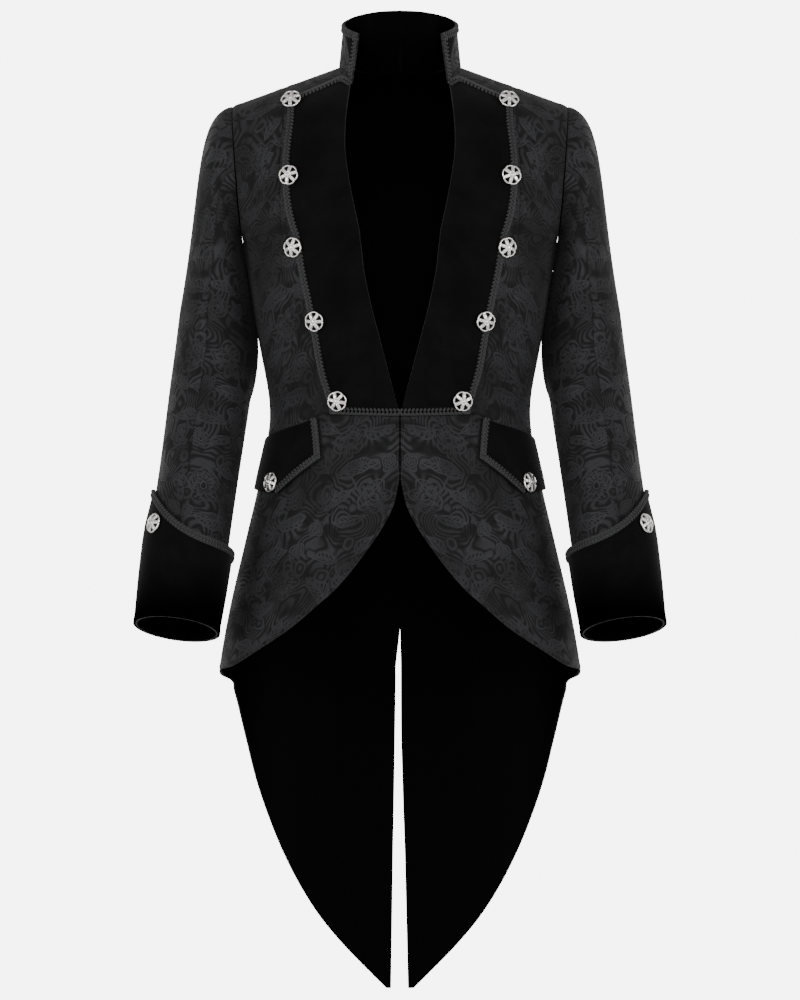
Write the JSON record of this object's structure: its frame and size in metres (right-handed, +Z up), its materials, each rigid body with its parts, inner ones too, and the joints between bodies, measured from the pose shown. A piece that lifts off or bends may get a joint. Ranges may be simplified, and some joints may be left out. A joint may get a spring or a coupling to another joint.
{
  "type": "tailcoat",
  "caption": "Black damask tailcoat in its worn shape: velvet button-back lapels, stand collar, cutaway front, turned-back velvet cuffs, pocket flaps and two long pointed tails.",
  "frame": {"origin": "midway between the shoulders, level with the neck ends of the shoulder seams, where a wearer's shoulders carry the coat", "axes": "+Z up, -Y towards the front of the coat, +X to the wearer's left"},
  "size_m": [0.6384, 0.2746, 1.2081],
  "materials": {
    "brocade": "black damask jacquard, low sheen",
    "velvet": "matt black velvet",
    "braid": "black woven gimp braid",
    "lining": "smooth black lining",
    "silver": "antiqued silver"
  },
  "bodies": {
    "root": {"back_left": "brocade", "back_right": "brocade", "button_1_left": "silver", "button_1_right": "silver", "button_2_left": "silver", "button_2_right": "silver", "button_3_left": "silver", "button_3_right": "silver", "button_4_left": "silver", "button_4_right": "silver", "button_5_left": "silver", "button_5_right": "silver", "button_cuff_left": "silver", "button_cuff_right": "silver", "button_flap_left": "silver", "button_flap_right": "silver", "collar": "brocade", "collar_braid": "braid", "collar_patch_left": "velvet", "collar_patch_right": "velvet", "collar_trim_left": "braid", "collar_trim_right": "braid", "cuff_braid_left": "braid", "cuff_braid_right": "braid", "cuff_left": "velvet", "cuff_right": "velvet", "flap_braid_left": "braid", "flap_braid_right": "braid", "flap_left": "velvet", "flap_right": "velvet", "front_left": "brocade", "front_right": "brocade", "lapel_braid_left": "braid", "lapel_braid_right": "braid", "lapel_left": "velvet", "lapel_right": "velvet", "lining_left": "lining", "lining_right": "lining", "side_left": "brocade", "side_right": "brocade", "skirt_left": "brocade", "skirt_right": "brocade", "sleeve_inner_left": "brocade", "sleeve_inner_right": "brocade", "sleeve_outer_left": "brocade", "sleeve_outer_right": "brocade"}
  },
  "joints": []
}
